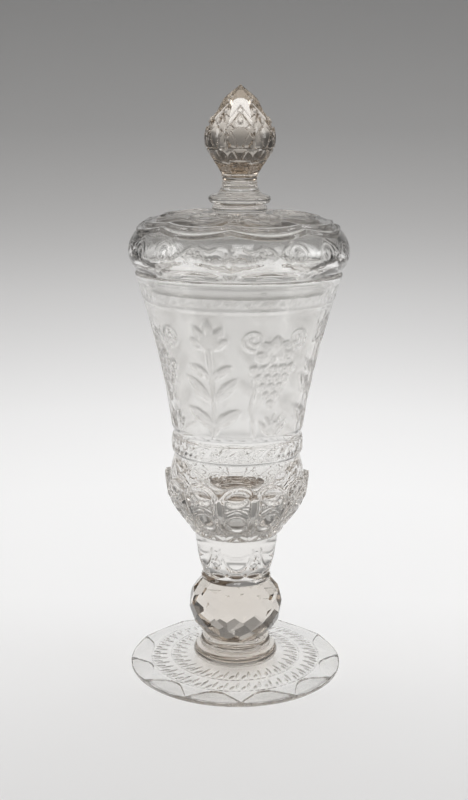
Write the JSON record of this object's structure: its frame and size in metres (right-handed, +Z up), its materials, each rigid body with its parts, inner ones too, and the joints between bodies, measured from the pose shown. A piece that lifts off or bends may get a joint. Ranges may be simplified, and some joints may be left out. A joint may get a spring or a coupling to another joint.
{
  "type": "covered goblet",
  "caption": "Covered goblet of cut and engraved glass: flat foot, faceted stem, carved bulb, flared bowl with a frosted frieze, and a loose domed lid with a bud finial.",
  "frame": {"origin": "middle of the ground ring under the foot, on the surface that the goblet stands on", "axes": "+Z up along the goblet's axis; -Y faces the viewer of the picture"},
  "size_m": [0.1, 0.1, 0.27],
  "materials": {
    "clear_glass": "cut and polished colourless glass with a faint warm grey cast",
    "engraved_glass": "colourless glass, polished, with wheel-engraved matt areas"
  },
  "bodies": {
    "goblet": {"foot": "clear_glass", "foot_ring": "clear_glass", "stem_ring": "clear_glass", "knop": "clear_glass", "bowl_collar": "clear_glass", "bowl": "engraved_glass"},
    "lid": {"lid": "engraved_glass", "finial_disc": "clear_glass", "finial_collar": "clear_glass", "finial_bud": "clear_glass"}
  },
  "joints": [
    {"name": "lid_lift", "type": "slide", "parent": "goblet", "child": "lid", "axis": [0, 0, 1], "range_m": [0, 0.12]}
  ]
}
